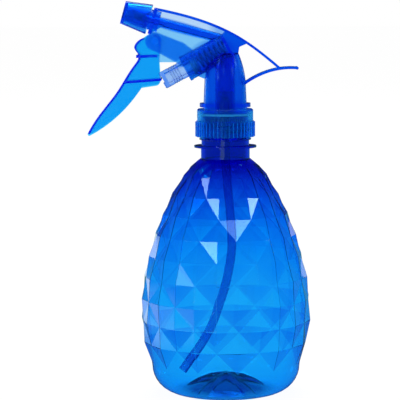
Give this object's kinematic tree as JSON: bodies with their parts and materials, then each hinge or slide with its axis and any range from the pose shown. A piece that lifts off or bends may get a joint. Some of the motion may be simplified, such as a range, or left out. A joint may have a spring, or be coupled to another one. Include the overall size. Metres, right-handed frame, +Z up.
{
  "type": "trigger spray bottle",
  "caption": "Faceted translucent blue bottle with a screw-on trigger pump head, turning nozzle and curved dip tube.",
  "frame": {"origin": "centre of the bottle's standing ring, on its axis", "axes": "+Z up along the bottle's axis, -X the way the nozzle sprays, +Y completes a right-handed frame"},
  "size_m": [0.1169, 0.0898, 0.2072],
  "materials": {
    "bottle_plastic": "clear blue blown PET, glossy",
    "head_plastic": "translucent deep blue polypropylene",
    "cap_plastic": "translucent blue polypropylene with a ribbed grip",
    "trigger_plastic": "translucent azure polypropylene",
    "plunger_plastic": "pale translucent polyethylene",
    "tube_plastic": "natural translucent polyethylene",
    "valve_plastic": "natural moulded plastic",
    "seal_rubber": "soft natural elastomer",
    "spring_steel": "drawn stainless wire",
    "ball_steel": "polished ball"
  },
  "bodies": {
    "bottle": {"bottle": "bottle_plastic"},
    "cap": {"screw_cap": "cap_plastic"},
    "head": {"sprayer_body": "head_plastic", "neck_gasket": "seal_rubber", "return_spring": "spring_steel", "tube_retainer": "valve_plastic", "dip_tube": "tube_plastic", "swirl_plug": "valve_plastic", "outlet_spring": "spring_steel"},
    "trigger": {"trigger": "trigger_plastic"},
    "plunger": {"plunger": "plunger_plastic", "piston_seal": "seal_rubber"},
    "nozzle": {"nozzle": "head_plastic"},
    "inlet_ball": {"inlet_ball": "ball_steel"},
    "outlet_poppet": {"outlet_poppet": "valve_plastic"}
  },
  "joints": [
    {"name": "cap_turn", "type": "hinge", "parent": "bottle", "child": "cap", "pos_m": [0, 0, 0.14], "axis": [0, 0, 1], "continuous": true},
    {"name": "head_swivel", "type": "hinge", "parent": "bottle", "child": "head", "pos_m": [0, 0, 0.15], "axis": [0, 0, 1], "continuous": true},
    {"name": "trigger_pull", "type": "hinge", "parent": "head", "child": "trigger", "pos_m": [-0.0369, 0, 0.1862], "axis": [0, -1, 0], "range_deg": [0, 20], "stiffness_Nm_per_rad": 0.3, "springref_deg": -8.59},
    {"name": "plunger_stroke", "type": "slide", "parent": "head", "child": "plunger", "axis": [0.8829, 0, 0.4695], "range_m": [0, 0.00687], "deforming": ["return_spring"]},
    {"name": "nozzle_turn", "type": "hinge", "parent": "head", "child": "nozzle", "pos_m": [-0.04629, 0, 0.19949], "axis": [-0.9644, 0, 0.2644], "continuous": true},
    {"name": "inlet_ball_lift", "type": "slide", "parent": "head", "child": "inlet_ball", "axis": [0, 0, 1], "range_m": [0, 0.0006]},
    {"name": "outlet_poppet_lift", "type": "slide", "parent": "head", "child": "outlet_poppet", "axis": [-0.9644, 0, 0.2644], "range_m": [0, 0.0008], "stiffness_N_per_m": 60, "springref_m": -0.002, "deforming": ["outlet_spring"]}
  ],
  "couplings": [
    {"joint": "trigger_pull", "follows": "plunger_stroke", "rad_per_m": 50.8}
  ]
}
